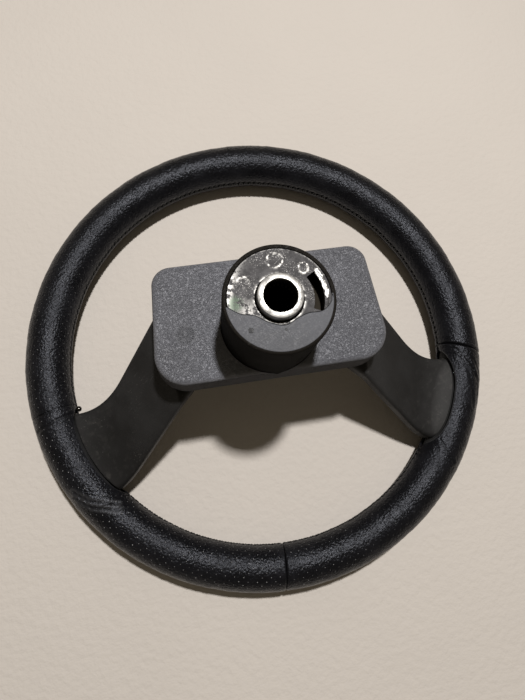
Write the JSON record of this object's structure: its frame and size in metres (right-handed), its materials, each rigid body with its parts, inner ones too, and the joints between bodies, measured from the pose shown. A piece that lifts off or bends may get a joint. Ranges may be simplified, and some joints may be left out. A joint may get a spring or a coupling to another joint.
{
  "type": "steering wheel",
  "caption": "Two-spoke road-car steering wheel with a laced perforated leather rim, a boxed horn housing and a splined hub, lying on its rim with the hub up.",
  "frame": {"origin": "point of the hub axis in the plane that the rim rests on", "axes": "+Z along the hub axis towards the steering column, +Y to the top of the rim, +X to the right seen from behind the wheel"},
  "size_m": [0.38, 0.38, 0.1672],
  "materials": {
    "leather": "semi-matt, grained and perforated",
    "lace": "waxed thread",
    "rim_foam": "moulded skin",
    "spoke_plastic": "matt, worn",
    "housing_plastic": "grained",
    "pad_plastic": "grained",
    "shroud_plastic": "smooth",
    "die_cast": "as cast, scratched",
    "bright_steel": "turned",
    "black_steel": "black dipped",
    "zinc_steel": "yellow passivated zinc",
    "nylon": "natural",
    "contact_brass": "bright"
  },
  "bodies": {
    "wheel": {"rim_wire": "black_steel", "rim_core": "rim_foam", "leather_top": "leather", "leather_lower_right": "leather", "leather_lower_left": "leather", "lacing_top": "lace", "lacing_lower_right": "lace", "lacing_lower_left": "lace", "right_spoke_arm": "black_steel", "left_spoke_arm": "black_steel", "right_spoke_skin": "spoke_plastic", "left_spoke_skin": "spoke_plastic", "hub_casting": "die_cast", "splined_sleeve": "bright_steel", "hub_shroud": "shroud_plastic", "rear_cover": "housing_plastic", "cover_screw_1": "zinc_steel", "cover_screw_2": "zinc_steel", "cover_screw_3": "zinc_steel", "cover_screw_4": "zinc_steel", "arm_rivet_1": "bright_steel", "arm_rivet_2": "bright_steel", "arm_rivet_3": "bright_steel", "arm_rivet_4": "bright_steel", "guide_pin_1": "zinc_steel", "guide_pin_2": "zinc_steel", "guide_pin_3": "zinc_steel", "guide_pin_4": "zinc_steel", "horn_spring_1": "bright_steel", "horn_spring_2": "bright_steel", "horn_spring_3": "bright_steel", "horn_spring_4": "bright_steel", "contact_insulator": "nylon", "fixed_contact": "contact_brass"},
    "pad": {"horn_plate": "zinc_steel", "plate_bush_1": "nylon", "plate_bush_2": "nylon", "plate_bush_3": "nylon", "plate_bush_4": "nylon", "pad_screw_1": "zinc_steel", "pad_screw_2": "zinc_steel", "pad_screw_3": "zinc_steel", "pad_screw_4": "zinc_steel", "moving_contact": "contact_brass", "horn_pad": "pad_plastic"}
  },
  "joints": [
    {"name": "horn_press", "type": "slide", "parent": "wheel", "child": "pad", "axis": [0, 0, 1], "range_m": [0, 0.003], "stiffness_N_per_m": 2000, "springref_m": -0.004, "deforming": ["horn_spring_1", "horn_spring_2", "horn_spring_3", "horn_spring_4"]}
  ]
}
